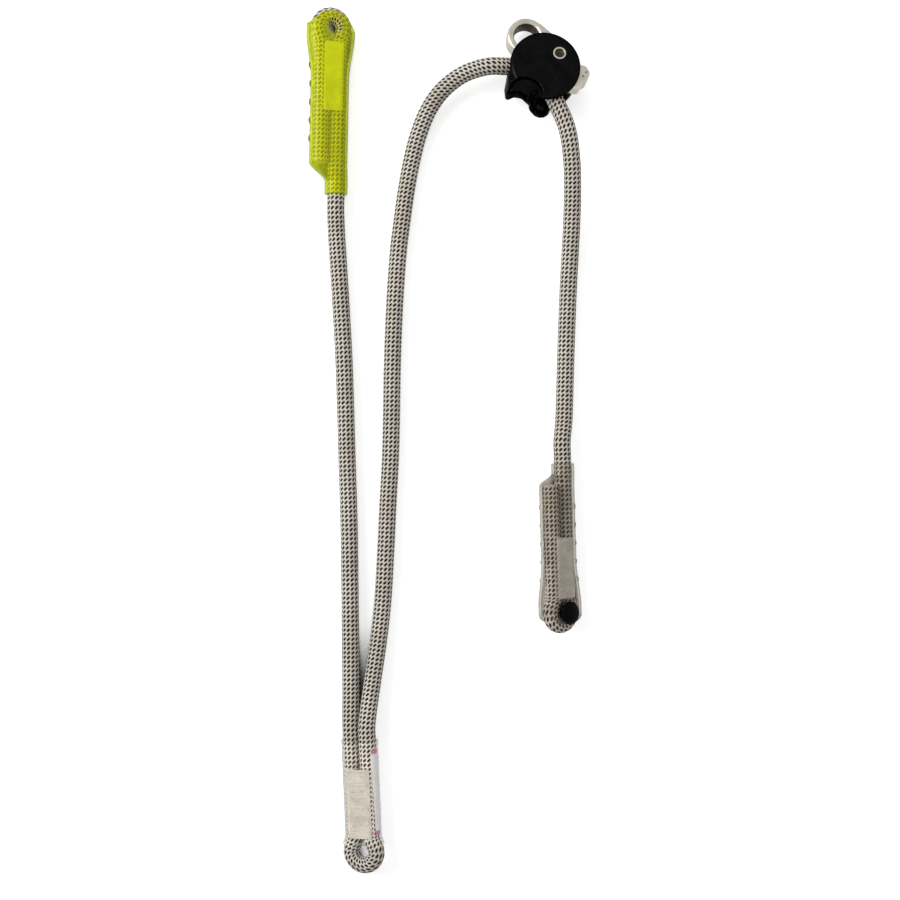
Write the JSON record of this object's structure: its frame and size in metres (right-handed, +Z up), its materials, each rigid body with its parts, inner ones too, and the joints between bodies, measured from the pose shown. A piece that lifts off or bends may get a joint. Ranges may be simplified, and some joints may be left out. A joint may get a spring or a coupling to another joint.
{
  "type": "adjustable y-lanyard",
  "caption": "Climbing lanyard in a Y: rope arms from a sewn harness eye, one fixed to a flared eye sleeve, one through a cam rope adjuster to a plugged end.",
  "frame": {"origin": "middle of the bounding box of everything that isn't a free stretch of rope, on the surface that the lanyard lies on", "axes": "+Z up off the surface, +Y from the harness eye towards the fixed end and the adjuster, +X from the fixed arm's side towards the adjuster's side"},
  "size_m": [0.18, 0.5518, 0.0282],
  "materials": {
    "rope": "braided sheath",
    "thread": "dense zigzag stitching",
    "yellow_sleeve": "glossy, slightly clear",
    "smoky_sleeve": "glossy, smoky, half clear",
    "clear_sleeve": "thin clear film",
    "label": "blank printed film",
    "rubber": "satin moulded",
    "black_metal": "black anodised, satin",
    "light_metal": "champagne anodised, satin",
    "rivet": "satin",
    "bush": "plain turned"
  },
  "bodies": {
    "lanyard": {"fixed_end_eye_rope": "rope", "fixed_end_stitching": "thread", "fixed_end_sleeve": "yellow_sleeve", "fixed_leg_rope": "rope", "harness_eye_rope": "rope", "harness_eye_stitching": "thread", "harness_eye_sleeve": "clear_sleeve", "harness_eye_label": "label", "adjustable_leg_rope": "rope", "adjuster_rope": "rope", "adjuster_friction_block": "black_metal", "adjuster_front_plate": "black_metal", "adjuster_rear_plate": "black_metal", "adjuster_pivot_rivet": "rivet", "adjuster_lobe_rivet": "black_metal", "adjuster_block_dowel": "rivet", "tail_rope": "rope", "stop_end_eye_rope": "rope", "stop_end_stitching": "thread", "stop_end_sleeve": "smoky_sleeve", "stop_end_plug": "rubber"},
    "cam": {"adjuster_cam_eye": "light_metal", "adjuster_cam_bushing": "bush"}
  },
  "joints": [
    {"name": "cam_pivot", "type": "hinge", "parent": "lanyard", "child": "cam", "pos_m": [0.06953, 0.2421, 0.01167], "axis": [0.0936, 0.2164, 0.9718], "range_deg": [-16, 0]}
  ]
}
